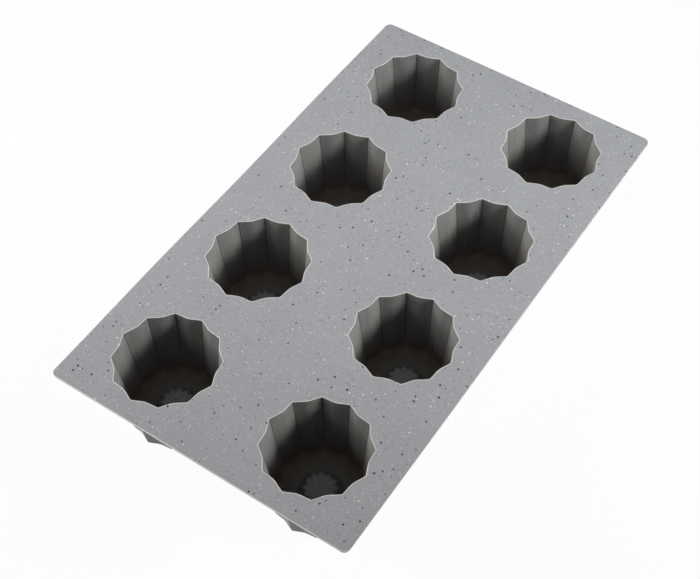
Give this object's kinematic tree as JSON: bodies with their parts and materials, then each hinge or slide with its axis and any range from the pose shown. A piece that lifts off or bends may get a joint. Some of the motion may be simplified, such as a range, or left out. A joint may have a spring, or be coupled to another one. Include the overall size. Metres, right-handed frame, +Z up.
{
  "type": "fluted baking mould",
  "caption": "Flexible silicone baking mould: a flat rectangular sheet with rows of deep fluted cups, each tapering to a raised star base.",
  "frame": {"origin": "on the surface that the cups stand on, under the middle of the sheet", "axes": "+Z up, +Y along the long side of the sheet, +X along the short side"},
  "size_m": [0.175, 0.3, 0.047],
  "materials": {
    "silicone": "matt grey silicone with fine dark and pale speckles"
  },
  "bodies": {
    "root": {"deck": "silicone", "cup_a1": "silicone", "cup_a2": "silicone", "cup_a3": "silicone", "cup_a4": "silicone", "cup_b1": "silicone", "cup_b2": "silicone", "cup_b3": "silicone", "cup_b4": "silicone"}
  },
  "joints": []
}
